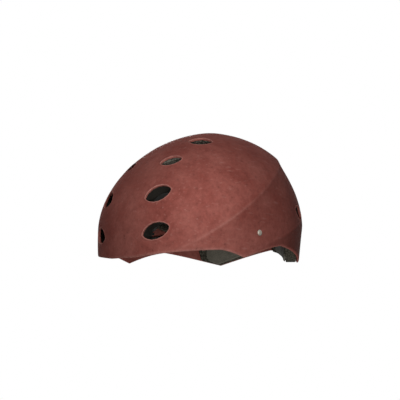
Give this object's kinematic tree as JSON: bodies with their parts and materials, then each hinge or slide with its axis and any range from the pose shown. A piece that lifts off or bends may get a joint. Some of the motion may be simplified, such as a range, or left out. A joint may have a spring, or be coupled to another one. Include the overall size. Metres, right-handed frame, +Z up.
{
  "type": "climbing helmet",
  "caption": "Hard-shell climbing helmet with oval vents, creased sides and a scalloped rim, padded foam liner, stowed chin strap and a tilting nape cradle with a size dial.",
  "frame": {"origin": "middle of the length and width at the level of the rim's low points, on which the helmet stands", "axes": "+Z up, -Y towards the front of the helmet, +X towards the wearer's left"},
  "size_m": [0.2248, 0.2641, 0.164],
  "materials": {
    "shell": "scuffed matte moulded shell, dark red",
    "liner": "moulded bead foam, charcoal",
    "pad": "knitted fabric over soft foam, warm grey",
    "webbing": "woven polyester webbing, black",
    "fittings": "moulded nylon, black",
    "gears": "moulded acetal, natural",
    "rivet": "dull worn steel"
  },
  "bodies": {
    "helmet": {"outer_shell": "shell", "foam_liner": "liner", "brow_pad": "pad", "left_temple_pad": "pad", "right_temple_pad": "pad", "front_crown_pad": "pad", "rear_crown_pad": "pad", "left_nape_pad": "pad", "right_nape_pad": "pad", "left_side_rivet": "rivet", "right_side_rivet": "rivet", "left_rivet_washer": "rivet", "right_rivet_washer": "rivet", "left_pivot_bracket": "fittings", "right_pivot_bracket": "fittings", "left_rear_anchor": "fittings", "right_rear_anchor": "fittings", "left_front_strap": "webbing", "right_front_strap": "webbing", "left_rear_strap": "webbing", "right_rear_strap": "webbing", "left_divider": "fittings", "right_divider": "fittings", "left_chin_strap": "webbing", "right_chin_strap": "webbing", "buckle_socket": "fittings"},
    "buckle": {"buckle_tongue": "fittings"},
    "cradle": {"left_cradle_arm": "fittings", "right_cradle_arm": "fittings", "nape_housing": "fittings", "housing_cover": "fittings", "housing_screws": "rivet", "nape_cushion": "pad"},
    "dial": {"dial_knob": "fittings", "drive_pinion": "gears"},
    "left_rack_strip": {"left_rack": "gears"},
    "right_rack_strip": {"right_rack": "gears"}
  },
  "joints": [
    {"name": "cradle_tilt", "type": "hinge", "parent": "helmet", "child": "cradle", "pos_m": [0, -0.01564, 0.0294], "axis": [-1, 0, 0], "range_deg": [0, 28]},
    {"name": "dial_turn", "type": "hinge", "parent": "cradle", "child": "dial", "pos_m": [0, 0.08727, 0.052], "axis": [0, 1, 0], "range_deg": [-90, 30]},
    {"name": "left_rack_slide", "type": "slide", "parent": "cradle", "child": "left_rack_strip", "axis": [1, 0, 0], "range_m": [-0.0079, 0.00265], "deforming": ["left_cradle_arm"]},
    {"name": "right_rack_slide", "type": "slide", "parent": "cradle", "child": "right_rack_strip", "axis": [-1, 0, 0], "range_m": [-0.0079, 0.00265], "deforming": ["right_cradle_arm"]},
    {"name": "tongue_release", "type": "slide", "parent": "helmet", "child": "buckle", "axis": [-1, 0, 0], "range_m": [0, 0.024], "deforming": ["right_chin_strap"]}
  ],
  "couplings": [
    {"joint": "left_rack_slide", "follows": "dial_turn", "m_per_rad": 0.005},
    {"joint": "right_rack_slide", "follows": "dial_turn", "m_per_rad": 0.005}
  ]
}
